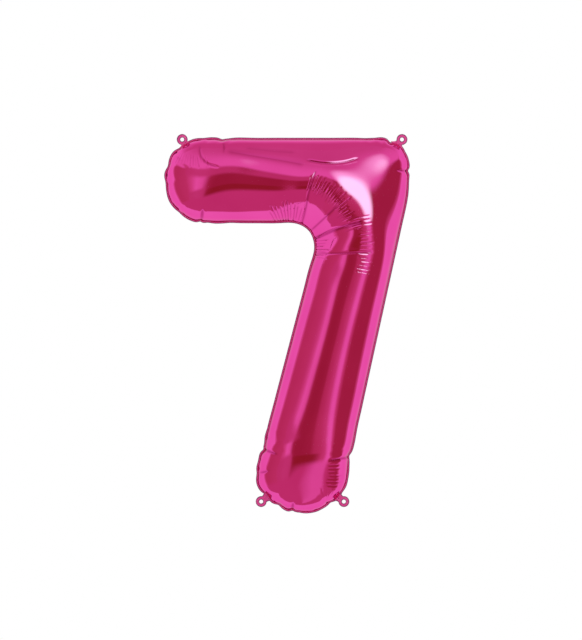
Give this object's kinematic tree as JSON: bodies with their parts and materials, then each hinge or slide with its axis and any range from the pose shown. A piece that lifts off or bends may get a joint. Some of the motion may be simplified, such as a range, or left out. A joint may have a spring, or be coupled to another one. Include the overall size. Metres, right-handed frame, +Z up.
{
  "type": "foil number balloon",
  "caption": "Inflated foil number balloon shaped like a seven, with a welded edge seal, hanging tabs and an inner self-sealing valve.",
  "frame": {"origin": "middle of the line between the two upper hanging holes, in the plane of the edge seal", "axes": "+Z up the number's height as it hangs, +X to the viewer's right as the 7 is read, the readable front face towards -Y; the edge seal lies in the plane Y = 0"},
  "size_m": [0.561, 0.2294, 0.871],
  "materials": {
    "foil": "mirror-bright metallised film, magenta lacquer, fine wrinkles",
    "welded_foil": "metallised film, flat and finely puckered where it is welded",
    "valve_film": "thin clear film, milky where it lies double",
    "release_ink": "flat printed ink"
  },
  "bodies": {
    "balloon": {"front_panel": "foil", "rear_panel": "foil", "edge_seal": "welded_foil", "valve_rear_ply": "valve_film", "valve_release_patch": "release_ink"},
    "tab_upper_left": {"tab_upper_left": "welded_foil"},
    "tab_upper_right": {"tab_upper_right": "welded_foil"},
    "tab_lower_left": {"tab_lower_left": "welded_foil"},
    "tab_lower_right": {"tab_lower_right": "welded_foil"},
    "valve_flap": {"valve_front_ply": "valve_film"}
  },
  "joints": [
    {"name": "tab_upper_left_flex", "type": "hinge", "parent": "balloon", "child": "tab_upper_left", "pos_m": [-0.24816, 0, -0.00731], "axis": [0.8601, 0, 0.5101], "range_deg": [-90, 90], "stiffness_Nm_per_rad": 0.00014},
    {"name": "tab_upper_right_flex", "type": "hinge", "parent": "balloon", "child": "tab_upper_right", "pos_m": [0.24724, 0, -0.00668], "axis": [0.7859, 0, -0.6184], "range_deg": [-90, 90], "stiffness_Nm_per_rad": 0.00014},
    {"name": "tab_lower_left_flex", "type": "hinge", "parent": "balloon", "child": "tab_lower_left", "pos_m": [-0.06436, 0, -0.82669], "axis": [-0.6242, 0, 0.7812], "range_deg": [-90, 90], "stiffness_Nm_per_rad": 0.00014},
    {"name": "tab_lower_right_flex", "type": "hinge", "parent": "balloon", "child": "tab_lower_right", "pos_m": [0.11233, 0, -0.82673], "axis": [-0.6201, 0, -0.7845], "range_deg": [-90, 90], "stiffness_Nm_per_rad": 0.00014},
    {"name": "valve_flap_open", "type": "hinge", "parent": "balloon", "child": "valve_flap", "pos_m": [0.02349, -0.0002, -0.84907], "axis": [1, 0, 0], "range_deg": [0, 25], "stiffness_Nm_per_rad": 0.0003, "springref_deg": -5.73}
  ]
}
